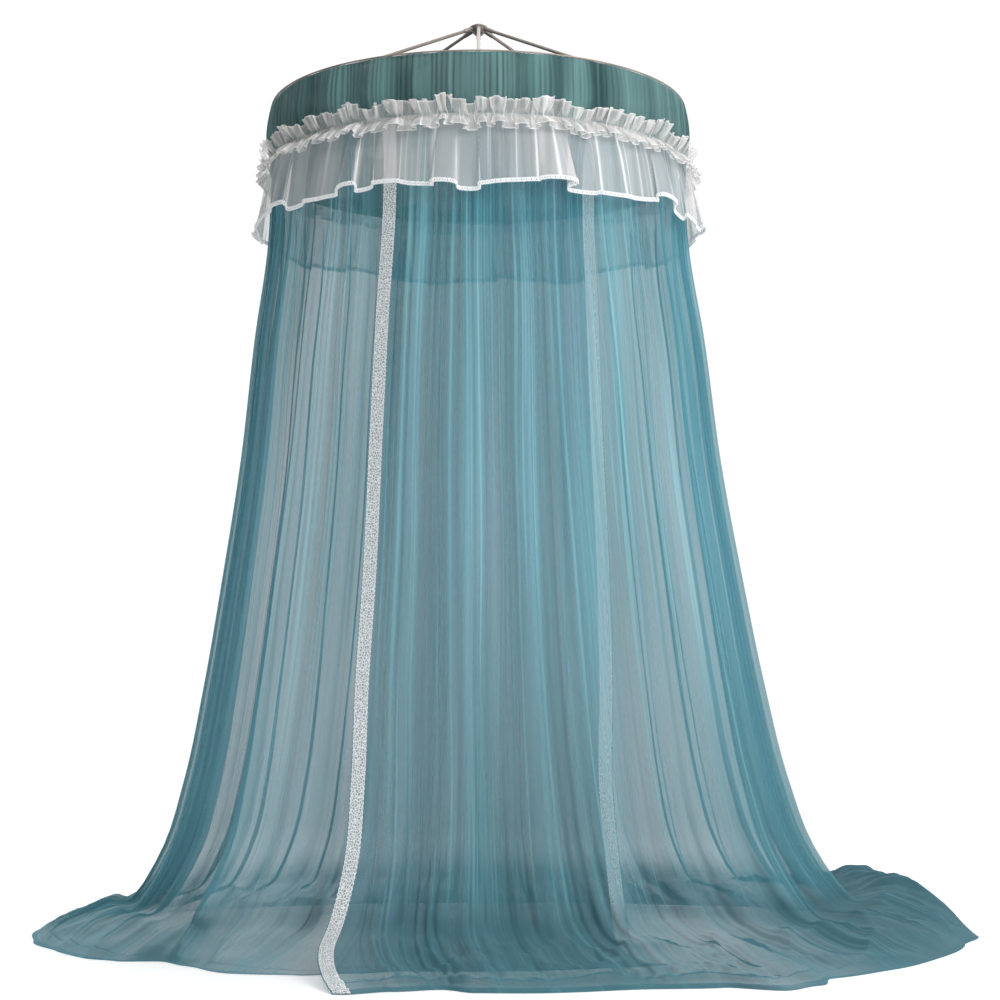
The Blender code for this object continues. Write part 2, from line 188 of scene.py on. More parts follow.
# The panels on the floor.
FLOOR_MIDDLE = 0.016  # height of the middle folds
FLOOR_FINE = 0.005  # and of the gathers
FLOOR_OVERHANG = 0.04  # what Station's last column is at the foot
CREASES_FADE = 0.14  # length of hem over which the creases go flat
HEM_SETTLES = 0.06  # and the main folds
HEM_ROLLS = (  # in front: from the hem, width, height
    (0.020, 0.010, 0.007),
    (0.070, 0.020, 0.010),
    (0.135, 0.024, 0.007),
)
ROLLS_BEGIN, ROLLS_END = -106.0, -52.0
CRUMPLES_BEGIN, CRUMPLES_GROW = 0.10, 0.30  # above the foot, and over what length
RIDGES = (  # of the crumples: direction, scale, phase
    (1.9, 0.4, 21.0, 0.0),
    (-0.7, 1.6, 27.0, 1.3),
    (1.2, 1.5, 38.0, 2.1),
    (-1.6, 0.9, 46.0, 0.6),
)
SIDE_FADES = 6.0  # degrees over which crumples and rolls end at their sides

# How gathered the cloth on the floor looks: how much of the view it covers, and how far it is drawn to its
# painted shade.
HEAPED, HEAPED_TILT = 0.80, 2.0
HEAPED_LEFT, HEAPED_IN_FRONT, HEAPED_RIGHT = -0.22, 0.06, 0.60
HEAPS_EVEN_OUT = 50.0  # degrees from the back seam
HEAPED_BEGINS, HEAPED_GROWS = 0.12, 0.20

# Hems, trims and the frame's small parts.
HEM_TURN = 0.018  # depth of the turned hem of a panel
STITCH_LINE = 0.045  # from the turn, up to a line of stitches
SCALLOP_DEPTH = 0.0022
LACE_END = 0.001  # from the hem
BRAID_RISE, BRAID_SIDE, BRAID_CORD = 0.0050, 0.0008, 0.0021
ROOF_FOLDS = ((24, 0.006), (96, 0.0025))  # how many round the hub, how deep
ROOF_SAG, ROOF_SLACK = 0.030, 0.006
RIM_OUT, RIM_UP, RIM_CORD = 0.0030, 0.0060, 0.0024
SOCKET_LENGTH, SOCKET_TAPER = 0.030, 0.86
HUB_SOCKET, HOOP_SOCKET = 0.0072, 0.0068
HOOP_TUBE_ROOM = 0.008

# Flat sizes of the sheets, in metres.
LEFT_LACE_LENGTH, RIGHT_LACE_LENGTH = 2.20, 2.57

# The photograph's viewpoint.
CAMERA_PLACE = (0.0, -6.316, 0.578 - HANG_HEIGHT)
CAMERA_RISE, CAMERA_TURN = 6.05, -0.58
SENSOR_WIDTH, FOCAL_LENGTH = 36.0, 78.55


def place(bearing, radius, height):
    """Points in the part's frame, stacked on the last axis."""
    angle = np.radians(bearing)
    return np.stack(
        np.broadcast_arrays(radius * np.cos(angle), radius * np.sin(angle), height - HANG_HEIGHT),
        axis=-1,
    )


def eased(share):
    """0 to 1 with a soft start and end, and held there outside."""
    share = np.clip(share, 0.0, 1.0)
    return share * share * (3 - 2 * share)


def reach_at(hem, bearing):
    """The hem's distance from the axis, eased between the rows of its table."""
    bearings = np.array([row.bearing for row in hem])
    radii = np.array([row.radius for row in hem])
    near = np.clip(np.searchsorted(bearings, bearing) - 1, 0, len(hem) - 2)
    share = eased((bearing - bearings[near]) / (bearings[near + 1] - bearings[near]))
    return radii[near] + (radii[near + 1] - radii[near]) * share


def smooth_rows(knots, values, at):
    """Rows of values at the knots, carried smoothly to the places in at."""
    knots, values = np.asarray(knots, float), np.asarray(values, float)
    slopes = np.gradient(values, knots, axis=0)
    near = np.clip(np.searchsorted(knots, at, side="right") - 1, 0, len(knots) - 2)
    width = (knots[near + 1] - knots[near])[:, None]
    share = (at - knots[near])[:, None] / width
    rest = 1 - share
    return (
        (1 + 2 * share) * rest**2 * values[near]
        + share * rest**2 * width * slopes[near]
        + share**2 * (3 - 2 * share) * values[near + 1]
        - share**2 * rest * width * slopes[near + 1]
    )


class Folds:
    """Folds of uneven width and depth, side by side, drawn as in the part's source. A spread over 1
    makes their widths more uneven than there, and shallow lowers the least depth."""

    def __init__(self, first, last, count, seed, spread=1.0, shallow=0.6):
        pick = random.Random(seed)
        widths = np.array([pick.uniform(0.65, 1.35) for _ in range(count)]) ** spread
        self.depths = np.array([pick.uniform(shallow, 1.0) for _ in range(count)])
        self.edges = first + np.concatenate(([0.0], np.cumsum(widths * (last - first) / widths.sum())))
        self.leans = np.array([pick.choice((-1.0, 1.0)) * pick.uniform(0.3, 1.0) for _ in range(count)])

    def number(self, places):
        """Which fold each place is in."""
        return np.clip(np.searchsorted(self.edges, places, side="right") - 1, 0, len(self.depths) - 1)

    def at(self, places):
        """(share of its fold, depth of that fold, width of that fold) for each place."""
        fold = self.number(places)
        width = self.edges[fold + 1] - self.edges[fold]
        share = np.clip((places - self.edges[fold]) / width, 0.0, 1.0)
        return share, self.depths[fold], width

    def wave(self, places):
        """How far each place is in or out, -1 to 1."""
        share, depth, _ = self.at(places)
        return depth * np.sin(2 * math.pi * share)

    def doubling(self, places):
        """How far each place slips sideways when the flanks of its fold double over."""
        share, depth, width = self.at(places)
        return -depth * width * np.sin(4 * math.pi * share)

    def leaning(self, places, lean):
        """(wave, doubling) of folds that lean over: a long slope, and one steep flank that doubles."""
        share, depth, width = self.at(places)
        turn, way = 2 * math.pi * share, self.way(places)
        wave = depth * np.sin(turn + way * lean * np.sin(turn))
        steep = (1 + way * np.cos(turn)) / 2
        return wave, -depth * width * np.sin(2 * turn) * steep

    def way(self, places):
        """The way that the fold at each place leans, and how much, -1 to 1."""
        return self.leans[self.number(places)]


def unit(vectors):
    """Vectors of length 1, or nought where there is none."""
    return vectors / (np.linalg.norm(vectors, axis=-1, keepdims=True) + 1e-12)


def normals(points):
    """Which way a sheet faces at each of its points."""
    return unit(np.cross(np.gradient(points, axis=1), np.gradient(points, axis=0)))


def from_axis(points):
    """The level direction from the hub's axis to each point."""
    return unit(points * (1.0, 1.0, 0.0))


def flank(points):
    """0 where a sheet faces away from the axis, up to 1 where it is edge-on to that."""
    return 1 - np.abs((normals(points) * from_axis(points)).sum(axis=-1))


def tilt(points):
    """0 where a sheet lies level, up to 1 where it stands."""
    return 1 - np.abs(normals(points)[..., 2])


def mesh_of(name, shape):
    """A mesh of a bmesh, which is freed."""
    mesh = bpy.data.meshes.new(name)
    shape.to_mesh(mesh)
    shape.free()
    return mesh


def in_scene(name, data, finish=None):
    """An object of a mesh, a lamp or a camera, in the scene."""
    made = bpy.data.objects.new(name, data)
    bpy.context.scene.collection.objects.link(made)
    if finish:
        data.materials.append(finish)
    return made


def link(name, mesh, finish, slot, *replaced):
    """Makes a piece of a mesh, smooth, with its finish and the node it stands for. The slot is not used."""
    piece = in_scene(name, mesh, finish)
    mesh.shade_smooth()
    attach(piece, BODY)
    if replaced:
        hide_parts(*replaced)
    return piece


def cloth(name, points, along, down, dense=None, closed=False):
    """A grid whose rows and columns are moved to points, with its place on the flat cloth as its
    UV map and how gathered it is as an attribute. Columns run anticlockwise from above."""
    rows, columns = points.shape[0] - 1, points.shape[1] - 1
    grid = bmesh.new()
    bmesh.ops.create_grid(grid, x_segments=columns, y_segments=rows, size=0.5)
    mesh = mesh_of(name, grid)
    spots = np.empty(len(mesh.vertices) * 3)
    mesh.vertices.foreach_get("co", spots)
    spots = spots.reshape(-1, 3)
    column = np.rint((spots[:, 0] + 0.5) * columns).astype(int)
    row = np.rint((0.5 - spots[:, 1]) * rows).astype(int)
    mesh.vertices.foreach_set("co", points[row, column].ravel())
    mesh.update()
    corners = np.empty(len(mesh.loops), dtype=np.int32)
    mesh.loops.foreach_get("vertex_index", corners)
    flat = np.stack((along[column], down[row]), axis=-1)[corners]
    mesh.uv_layers.new(name="cloth").data.foreach_set("uv", flat.ravel())
    dense = flank(points) if dense is None else dense
    mesh.attributes.new("gathered", "FLOAT", "POINT").data.foreach_set("value", dense[row, column])
    if closed:
        grid = bmesh.new()
        grid.from_mesh(mesh)
        bmesh.ops.remove_doubles(grid, verts=grid.verts, dist=0.00002)
        grid.to_mesh(mesh)
        grid.free()
    return mesh


def tube(name, path, radius, sides=5):
    """A closed tube along a closed path of points."""
    ahead = unit(np.roll(path, -1, axis=0) - np.roll(path, 1, axis=0))
    upward = unit(np.cross(ahead, from_axis(path)))
    outward = np.cross(upward, ahead)
    angles = np.linspace(0, 2 * math.pi, sides + 1)[:, None, None]
    points = path + radius * (outward * np.cos(angles) + upward * np.sin(angles))
    points = np.concatenate((points, points[:, :1]), axis=1)
    size = np.linspace(0, 1, sides + 1)
    around = np.linspace(0, 1, points.shape[1])
    return cloth(name, points, around, size, dense=np.zeros(points.shape[:2]), closed=True)


# ---------------------------------------------------------------------------------------- finishes


class Tree:
    """Adds nodes to a node tree. A value given to a socket is a number, a colour or a socket."""

    def __init__(self, tree):
        self.tree = tree

    def put(self, socket, value):
        if isinstance(value, bpy.types.NodeSocket):
            self.tree.links.new(value, socket)
        else:
            socket.default_value = value

    def fill(self, node, **values):
        """Gives values to a node's inputs by their names, with _ for a space."""
        for key, value in values.items():
            self.put(node.inputs[key.replace("_", " ")], value)
        return node

    def add(self, kind, sockets=None, **settings):
        made = self.tree.nodes.new(kind)
        for key, value in settings.items():
            setattr(made, key, value)
        for key, value in (sockets or {}).items():
            self.put(made.inputs[key], value)
        return made

    def math(self, operation, first, second=0.0, clamp=False):
        made = self.add("ShaderNodeMath", {0: first, 1: second}, operation=operation, use_clamp=clamp)
        return made.outputs[0]

    def plus(self, total, *parts):
        for part in parts:
            total = self.math("ADD", total, part)
        return total

    def minus(self, first, second):
        return self.math("SUBTRACT", first, second)

    def times(self, first, second):
        return self.math("MULTIPLY", first, second)

    def ramp(self, value, low, high, start=0.0, end=1.0):
        """Start below low, end above high, and a straight way between."""
        ends = {"From Min": low, "From Max": high, "To Min": start, "To Max": end}
        return self.add("ShaderNodeMapRange", {"Value": value, **ends}).outputs[0]

    def noise(self, spot, scale, detail=2.0):
        made = self.add("ShaderNodeTexNoise", {"Vector": spot, "Scale": scale, "Detail": detail})
        return made.outputs[0]

    def bump(self, height, strength, distance):
        made = self.add("ShaderNodeBump", {"Strength": strength, "Distance": distance, "Height": height})
        return made.outputs[0]

    def blend(self, factor, first, second):
        made = self.add("ShaderNodeMix", data_type="RGBA")
        for key, value in (("Factor", factor), ("A", first), ("B", second)):
            self.put(next(s for s in made.inputs if s.name == key and s.enabled), value)
        return next(s for s in made.outputs if s.enabled)

    def group(self, made, **sockets):
        return self.fill(self.add("ShaderNodeGroup", node_tree=made), **sockets)

    def cloth_map(self):
        return self.add("ShaderNodeUVMap", uv_map="cloth").outputs[0]

    def object_map(self):
        return self.add("ShaderNodeTexCoord").outputs["Object"]


FLOAT, VECTOR = "NodeSocketFloat", "NodeSocketVector"


def group_once(build):
    """A shader node group that is built at its first use. Its builder gives its name, its inputs
    with their defaults, its outputs, and a function that joins them."""
    name, inputs, outputs, join = build()
    if name in bpy.data.node_groups:
        return bpy.data.node_groups[name]
    made = bpy.data.node_groups.new(name, "ShaderNodeTree")
    made.interface.new_socket(name="Vector", in_out="INPUT", socket_type=VECTOR)
    for socket, default in inputs:
        item = made.interface.new_socket(name=socket, in_out="INPUT", socket_type=FLOAT)
        item.default_value = default
    for socket in outputs:
        made.interface.new_socket(name=socket, in_out="OUTPUT", socket_type=FLOAT)
    tree = Tree(made)
    given = tree.add("NodeGroupInput").outputs
    tree.fill(tree.add("NodeGroupOutput"), **join(tree, given))
    return made


def streaks_group():
    """Streaks that run down the cloth: broad, wide and fine, 0 to 1."""

    def join(tree, given):
        masks = {}
        for key, detail in (("Broad", 1.0), ("Wide", 3.0), ("Fine", 2.0)):
            scale = tree.add("ShaderNodeCombineXYZ", {"X": given[key], "Y": given["Down"]}).outputs[0]
            sockets = {0: given["Vector"], 1: scale}
            moved = tree.add("ShaderNodeVectorMath", sockets, operation="MULTIPLY").outputs[0]
            masks[key + "_Mask"] = tree.ramp(tree.noise(moved, 1.0, detail), 0.35, 0.65)
        return masks

    inputs = (("Broad", 1.7), ("Wide", 8.0), ("Fine", 55.0), ("Down", 0.6))
    return "cloth streaks", inputs, ("Broad Mask", "Wide Mask", "Fine Mask"), join


def weave_group():
    """A fine mesh of threads: its height and its mask."""

    def join(tree, given):
        parts = tree.add("ShaderNodeSeparateXYZ", {"Vector": given["Vector"]}).outputs
        threads = []
        for lean in (0.6, -0.6):
            turned = tree.plus(parts[0], tree.times(parts[1], lean))
            phase = tree.math("DIVIDE", turned, given["Pitch"])
            threads.append(tree.math("ABSOLUTE", tree.math("SINE", tree.times(phase, 2 * math.pi))))
        height = tree.math("MAXIMUM", *threads)
        return {"Height": height, "Mask": tree.math("POWER", height, 3.0)}

    return "net weave", (("Pitch", WEAVE_PITCH),), ("Height", "Mask"), join


def openwork_group():
    """Soft openwork between two firm edges: where there is thread, 0 to 1."""

    def join(tree, given):
        flat = given["Vector"]
        cells = tree.add(
            "ShaderNodeTexVoronoi",
            {"Vector": flat, "Scale": tree.math("DIVIDE", 1.0, given["Cell"])},
            voronoi_dimensions="2D",
            feature="DISTANCE_TO_EDGE",
        ).outputs["Distance"]
        walls = tree.ramp(cells, 0.05, 0.16, start=1.0, end=0.0)
        filled = tree.ramp(tree.noise(flat, 130.0), 0.50, 0.66)
        across = tree.add("ShaderNodeSeparateXYZ", {"Vector": flat}).outputs[0]
        off = tree.math("ABSOLUTE", tree.minus(tree.math("DIVIDE", across, given["Width"]), 0.5))
        edge = tree.ramp(off, 0.43, 0.47)
        inner = tree.math("MAXIMUM", walls, tree.times(filled, 0.8))
        return {"Thread": tree.math("MAXIMUM", inner, edge)}

    return "lace openwork", (("Width", LACE_WIDTH), ("Cell", 0.007)), ("Thread",), join


def new_material(name, **constants):
    """(material, its tree, its Principled node), with constant sockets set."""
    made = bpy.data.materials.new(name)
    made.use_nodes = True
    tree = Tree(made.node_tree)
    return made, tree, tree.fill(made.node_tree.nodes["Principled BSDF"], **constants)


def full(colour, share=1.0):
    """A colour with its alpha, made darker or lighter by a share."""
    return (*(min(1.0, part * share) for part in colour), 1.0)


class Sheer(NamedTuple):
    """How a sheer cloth covers the view, and what its streaks and folds add to that and to its tone."""

    alpha: float  # of the view that plain cloth covers
    flank: float  # more on the flank of a fold
    streak: float  # more or less in the streaks
    line: float  # more on the crests of the finest gathers
    # painted shade on the flanks of folds below nought, painted light above
    flank_tone: float
    # painted highlight on the crests of the finest gathers
    line_tone: float
    broad: float  # less in the broad parts
    fine: float  # of the tone that the fine streaks give
    wide_scale: float
    fine_scale: float
    heap: float = 0.0  # more where the cloth is heaped
    # painted highlight on the doubled folds
    doubled_tone: float = 0.0


# Down a panel: where the painted highlight on the doubled folds fades out, above the hem's turn; and
# where the painted shade of the lower part begins and is full, below the seam, with its share there.
DOUBLED_FADES, DOUBLED_ENDS = 0.72, 0.50
LOW_BEGINS, LOW_IS_FULL, LOW_SHARE = 1.0, 2.1, 0.52
HEM_SHARE = 0.22
WEAVE_PITCH = 0.004
WEAVE_SHARE = 0.05
CAST_SHARE = 0.55


def sheer(name, deep, light, cast, shade, look, hem_at=None):
    """Sheer cloth: threads of two tones in streaks, with a third colour cast over broad parts, painted
    highlights on crests and doubled folds, and a colour painted where much of it lies together: shade on
    the net and crown, light on the voile. A panel also gets a painted shade down its lower part. Hem_at is
    how far down the hem's turn is."""
    made, tree, shader = new_material(
        name,
        Roughness=0.82,
        Sheen_Weight=0.25,
        Sheen_Roughness=0.5,
        Sheen_Tint=full(light),
        Specular_IOR_Level=0.2,
    )
    flat = tree.cloth_map()
    down = tree.add("ShaderNodeSeparateXYZ", {"Vector": flat}).outputs[1]
    streaks = tree.group(group_once(streaks_group), Vector=flat, Wide=look.wide_scale, Fine=look.fine_scale)
    weave = tree.group(group_once(weave_group), Vector=flat).outputs
    dense = tree.add("ShaderNodeAttribute", attribute_name="gathered").outputs["Fac"]
    broad, wide, fine = (streaks.outputs[key + " Mask"] for key in ("Broad", "Wide", "Fine"))

    tone = tree.plus(tree.times(wide, 1 - look.fine), tree.times(fine, look.fine))
    # The streaks set the tone at random; flank_tone adds a painted shade on the crown's fold flanks and a
    # painted light on the voile's.
    lit = tree.math("ADD", tone, tree.times(dense, look.flank_tone), clamp=True)
    colour = tree.blend(lit, full(deep), full(light))
    colour = tree.blend(tree.times(broad, CAST_SHARE), colour, full(cast))
    # Painted highlight: the crests of the finest gathers and the doubled folds are lightened as if they
    # catch the light.
    crest = tree.ramp(fine, 0.74, 1.0)
    doubled = tree.ramp(dense, 0.10, 0.55)
    if hem_at is not None:
        hanging = tree.ramp(down, hem_at - DOUBLED_FADES, hem_at - DOUBLED_ENDS, start=1.0, end=0.0)
        doubled = tree.times(doubled, hanging)
    lines, folds = tree.times(crest, look.line_tone), tree.times(doubled, look.doubled_tone)
    crest_light = full([c * 1.15 + 0.10 for c in light])
    colour = tree.blend(tree.math("ADD", lines, folds, clamp=True), colour, crest_light)
    # Painted shade where the cloth is dense: on steep fold flanks and in heaps (a lighter copy on the voile,
    # so painted light there).
    heaped = tree.ramp(dense, 0.5, 1.5)
    colour = tree.blend(heaped, colour, full(shade))
    # Painted shade down the lower part of a panel.
    if hem_at is not None:
        colour = tree.blend(tree.ramp(down, LOW_BEGINS, LOW_IS_FULL, end=LOW_SHARE), colour, full(shade))

    share = tree.plus(
        tree.times(tree.minus(tone, 0.5), look.streak),
        tree.times(dense, look.flank),
        tree.times(crest, look.line),
        tree.times(weave["Mask"], WEAVE_SHARE),
        tree.times(tree.minus(0.5, broad), look.broad),
        tree.times(heaped, look.heap),
        look.alpha,
    )
    if hem_at is not None:
        stitches = tree.math("COMPARE", down, hem_at - STITCH_LINE)
        stitches.node.inputs[2].default_value = 0.003
        hem = tree.math("MAXIMUM", tree.math("GREATER_THAN", down, hem_at), stitches)
        share = tree.plus(share, tree.times(hem, HEM_SHARE))
    share = tree.math("MINIMUM", tree.math("MAXIMUM", share, 0.05), 0.98)
    normal = tree.bump(weave["Height"], 0.15, 0.0006)
    tree.fill(shader, Base_Color=colour, Alpha=share, Normal=normal)
    return made


def lace_finish(name, colour, width, cell, glow):
    """White openwork, its holes half veiled by finer thread, with a painted glow (emission) standing in for
    light that shines through it.
    """
    made, tree, shader = new_material(
        name, Roughness=0.8, Sheen_Weight=0.2, Emission_Color=full(colour), Emission_Strength=glow
    )
    work = tree.group(group_once(openwork_group), Vector=tree.cloth_map(), Width=width, Cell=cell)
    thread = work.outputs["Thread"]
    tone = tree.blend(thread, full(colour, 0.60), full(colour))
    share = tree.plus(tree.times(thread, 0.50), 0.38)
    tree.fill(shader, Base_Color=tone, Alpha=share, Normal=tree.bump(thread, 0.5, 0.001))
    return made


def thread_finish(name, colour):
    """White cord of the braid, with a fine twist and a painted glow (emission) standing in for light that
    shines through it.
    """
    made, tree, shader = new_material(
        name, Roughness=0.75, Sheen_Weight=0.2, Emission_Color=full(colour), Emission_Strength=0.22
    )
    twist = tree.noise(tree.object_map(), 900.0)
    tone = tree.blend(twist, full(colour, 0.85), full(colour))
    tree.fill(shader, Base_Color=tone, Normal=tree.bump(twist, 0.4, 0.0005))
    return made


def metal_finish(name, colour):
    """Satin enamel on steel: soft mottling and a fine grain."""
    made, tree, shader = new_material(name, Metallic=0.55)
    spot = tree.object_map()
    mottle = tree.noise(spot, 60.0, 4.0)
    tone = tree.blend(mottle, full(colour, 0.8), full(colour, 1.2))
    rough = tree.ramp(mottle, 0.0, 1.0, start=0.32, end=0.5)
    normal = tree.bump(tree.noise(spot, 900.0), 0.15, 0.0003)
    tree.fill(shader, Base_Color=tone, Roughness=rough, Normal=normal)
    return made


# ------------------------------------------------------------------------------------- the panels


class Drape:
    """One net panel. A turn is the distance in degrees from the free edge."""

    def __init__(self, name, edge, side, hem, heap, seed, cloth_sizes):
        self.name = name
        self.edge = edge
        self.side = side
        self.hem = hem
        self.heap = heap
        self.sizes = cloth_sizes
        self.span = abs(BACK_SEAM - (FULL_TURN if side < 0 else 0.0) - edge)
        self.band = math.degrees(LACE_BAND / SEAM_RADIUS)
        first = self.band + BAND_MARGIN
        self.main = Folds(first, self.span, PANEL_FOLDS, seed)
        self.middle = Folds(first, self.span, MIDDLE_FOLDS, seed + 20, spread=2.4, shallow=0.25)
        self.fine = Folds(first, self.span, GATHERS, seed + 40, spread=2.0, shallow=0.2)
        drops = [FALL[0].height - station.height for station in FALL]
        self.foot = drops[-1]
        self.knots = np.array(drops + [self.foot + TRAIL_LENGTH * at.share for at in TRAIL])

    def inner(self, bearing):
        """How far the left panel has slipped behind the right one: 0 outside the lap, 1 in it."""
        if self.side > 0:
            return np.zeros_like(bearing)
        return eased((bearing - LAP_BEGINS) / (LAP_IS_FULL - LAP_BEGINS))

    def hanging(self, bearing, station):
        """(radius, height, depths of the main, middle and fine folds)."""
        lean = 1 + LEAN * np.cos(np.radians(bearing))
        radius = SEAM_RADIUS + (station.radius - SEAM_RADIUS) * lean
        middle = station.middle * self.sizes.middle_folds
        fine = station.fine * self.sizes.gathers
        inside = self.inner(bearing)
        spread = (station.radius - HOOP_RADIUS) * LAP_SHARE
        room = LAP_FOLD_ROOM * (station.fold_depth + middle + fine) + LAP_CLEARANCE
        radius = radius - inside * (max(room, spread) if station.fold_depth else LAP_AT_SEAM)
        less = 1 - (1 - LAP_FOLDS) * inside
        return radius, station.height + 0 * bearing, station.fold_depth * less, middle * less, fine * less

    def trailing(self, bearing, share):
        """(radius, height, depth of the folds) at a share of the way from the foot to the hem."""
        foot, foot_height, *_ = self.hanging(bearing, FALL[-1])
        radius = foot + (reach_at(self.hem, bearing) - foot) * share
        off = (bearing - self.heap.bearing) / self.heap.width
        heap = self.heap.height * np.exp(-off * off) * (1 - share**self.heap.fall)
        lying = (foot_height - FOOT_DROP) * (1 - share) ** SETTLING + heap
        less = 1 - (1 - LAP_FOLDS) * self.inner(bearing)
        fold = FLOOR_FOLD * (1 - HEM_FLATTENING * share) * less
        return radius, NET_THICKNESS / 2 + lying, fold

    def drift(self, row):
        """How far the free edge has strayed along the hoop, in degrees."""
        at = (FALL + TRAIL)[row]
        return at.swing if self.side > 0 else -at.sway

    def knot(self, turns, row):
        """One row of the part's own table, at every turn: the numbers that the drape is made of."""
        floor = row >= len(FALL)
        share = TRAIL[row - len(FALL)].share if floor else 0.0
        drift = self.drift(row)
        free = np.array([self.edge + drift])
        at_edge = (self.trailing(free, share) if floor else self.hanging(free, FALL[row]))[0][0]
        strip = math.degrees(LACE_BAND / at_edge)
        start = self.band + BAND_MARGIN
        turn = np.interp(turns, (0.0, self.band, start, self.span), (0.0, strip, start, self.span))
        past_strip = np.maximum(0.0, turn - self.band)
        bearing = self.edge + self.side * turn + drift * np.exp(-past_strip / DRIFT_FADES)
        zero = 0 * bearing
        if floor:
            radius, height, lift = self.trailing(bearing, share)
            less = 1 - 0.6 * self.inner(bearing)
            main, middle, fine = zero, zero, zero
            low = (1 - 0.6 * share) * less
            overhang = FLOOR_OVERHANG * (1 - share) + zero
        else:
            radius, height, main, middle, fine = self.hanging(bearing, FALL[row])
            lift, low = zero, zero
            overhang = FALL[row].overhang + zero
        bearing = bearing - self.side * (turns >= self.span) * np.degrees(SEAM_HALF_GAP / radius)
        return bearing, radius, height, main, middle, fine, lift, low, overhang

    def points(self, turns, down):
        """The cloth's points: a row for each place down it, a column for each turn."""
        tables = zip(*(self.knot(turns, row) for row in range(len(self.knots))))
        bearing, radius, height, main, middle, fine, lift, low, overhang = (
            smooth_rows(self.knots, table, down) for table in tables
        )
        wave, middle_wave, fine_wave = (
            folds.wave(turns) for folds in (self.main, self.middle, self.fine)
        )
        deep = down[:, None]
        # The middle folds wander a little on their way down.
        swing = sum(size * np.sin(deep * fall + turns * across) for fall, across, size in WANDER)
        past_strip = turns - self.band - BAND_MARGIN
        from_edges = eased((self.span - turns) / WANDER_FADES) * eased(past_strip / WANDER_FADES)
        fade = eased(deep / WANDER_FULL) * from_edges
        doubling = self.middle.doubling(turns) + MAIN_DOUBLING * self.main.doubling(turns)
        bearing = bearing + self.side * (WANDER_DEGREES * swing * fade)
        bearing = bearing + self.side * overhang * doubling
        radius = radius + main * wave + middle * middle_wave + fine * fine_wave
        to_hem = self.knots[-1] - deep
        off_hem = eased(to_hem / CREASES_FADE)
        low = low * off_hem * (FLOOR_MIDDLE * (1 + middle_wave) + FLOOR_FINE * (1 + fine_wave)) / 2
        rise = lift * (1 + wave) / 2 * eased(to_hem / HEM_SETTLES) + low
        spots = place(bearing, radius, height + rise)

        lying = eased((deep - self.foot + CRUMPLES_BEGIN) / CRUMPLES_GROW)
        calm = eased((turns - self.band) / SIDE_FADES) * (1 - 0.7 * self.inner(bearing))
        lumps = self.sizes.crumples * crumple(spots[..., 0], spots[..., 1]) * off_hem
        rolls = sum(tall * np.exp(-(((to_hem - up) / width) ** 2)) for up, width, tall in HEM_ROLLS)
        if self.side > 0:
            rolls = rolls * eased((bearing - ROLLS_BEGIN) / SIDE_FADES)
            rolls = rolls * eased((ROLLS_END - bearing) / SIDE_FADES)
        else:
            rolls = 0.0
        spots[..., 2] += lying * calm * lumps + rolls
        spots[..., 2] = np.maximum(spots[..., 2], NET_THICKNESS / 2 - HANG_HEIGHT)
        return spots

    def gathered(self, spots, turns, down):
        """How gathered the cloth looks: more on its folds' flanks and where it lies in heaps, and
        less where it is the inner layer of the lap."""
        deep = down[:, None]
        bearing = self.edge + self.side * turns
        if self.side > 0:
            heavier = HEAPED_IN_FRONT + HEAPED_RIGHT * eased((bearing + 60.0) / 40.0)
        else:
            heavier = HEAPED_LEFT
        off_seam = eased((self.span - turns) / HEAPS_EVEN_OUT)
        heaped = HEAPED + heavier * off_seam + HEAPED_TILT * tilt(spots)
        hung = flank(spots) - (1.9 - 0.75 * deep) * self.inner(bearing) * (deep < 2.5)
        return hung + eased((deep - self.foot + HEAPED_BEGINS) / HEAPED_GROWS) * (heaped - hung)

    def build(self, finish):
        """The panel, its columns drawn from the left as seen from outside."""
        turns = np.linspace(0.0, self.span, PANEL_COLUMNS + 1)
        hang = self.foot * np.linspace(0.0, 1.0, HANGING_ROWS + 1) ** ROWS_CLOSER_ABOVE
        lie = self.foot + TRAIL_LENGTH * np.linspace(0.0, 1.0, FLOOR_ROWS + 1)[1:]
        down = np.concatenate((hang, lie))
        spots = self.points(turns, down)
        dense = self.gathered(spots, turns, down)
        along = turns / self.span * self.sizes.panel_width
        if self.side < 0:
            spots, dense, along = spots[:, ::-1], dense[:, ::-1], along[::-1]
        mesh = cloth(self.name, spots, along, down, dense)
        return link(self.name + "_cloth", mesh, finish, "teal_net", self.name)

    def build_lace(self, name, finish, pitch):
        """The lace tape on the outer face of the flat strip, its edges scalloped."""
        columns, rows = 12, 1200
        down = np.linspace(LACE_TOP, self.knots[-1] - LACE_END, rows + 1)
        margin = (LACE_BAND - LACE_WIDTH) / 2 / LACE_BAND
        shares = np.linspace(0.0, 1.0, columns + 1)
        turns = (margin + shares * (1 - 2 * margin)) * self.band
        spots = self.points(turns, down)
        scallop = SCALLOP_DEPTH * np.abs(np.sin(math.pi * down / pitch))[:, None, None]
        toward = (1 - 2 * shares)[:, None]
        spots = spots + unit(spots[:, -1:] - spots[:, :1]) * toward * np.abs(toward) ** 3 * scallop
        facing = normals(spots)
        way = np.sign(facing[rows // 2, 0] @ from_axis(spots[rows // 2, 0]))
        spots = spots + facing * way * (NET_THICKNESS / 2 + 2 * GAP + TRIM_THICKNESS / 2)
        along = shares * LACE_WIDTH
        if self.side < 0:
            spots, along = spots[:, ::-1], along[::-1]
        mesh = cloth(name, spots, along, down, dense=np.zeros(spots.shape[:2]))
        return link(name + "_tape", mesh, finish, "white_lace", name)


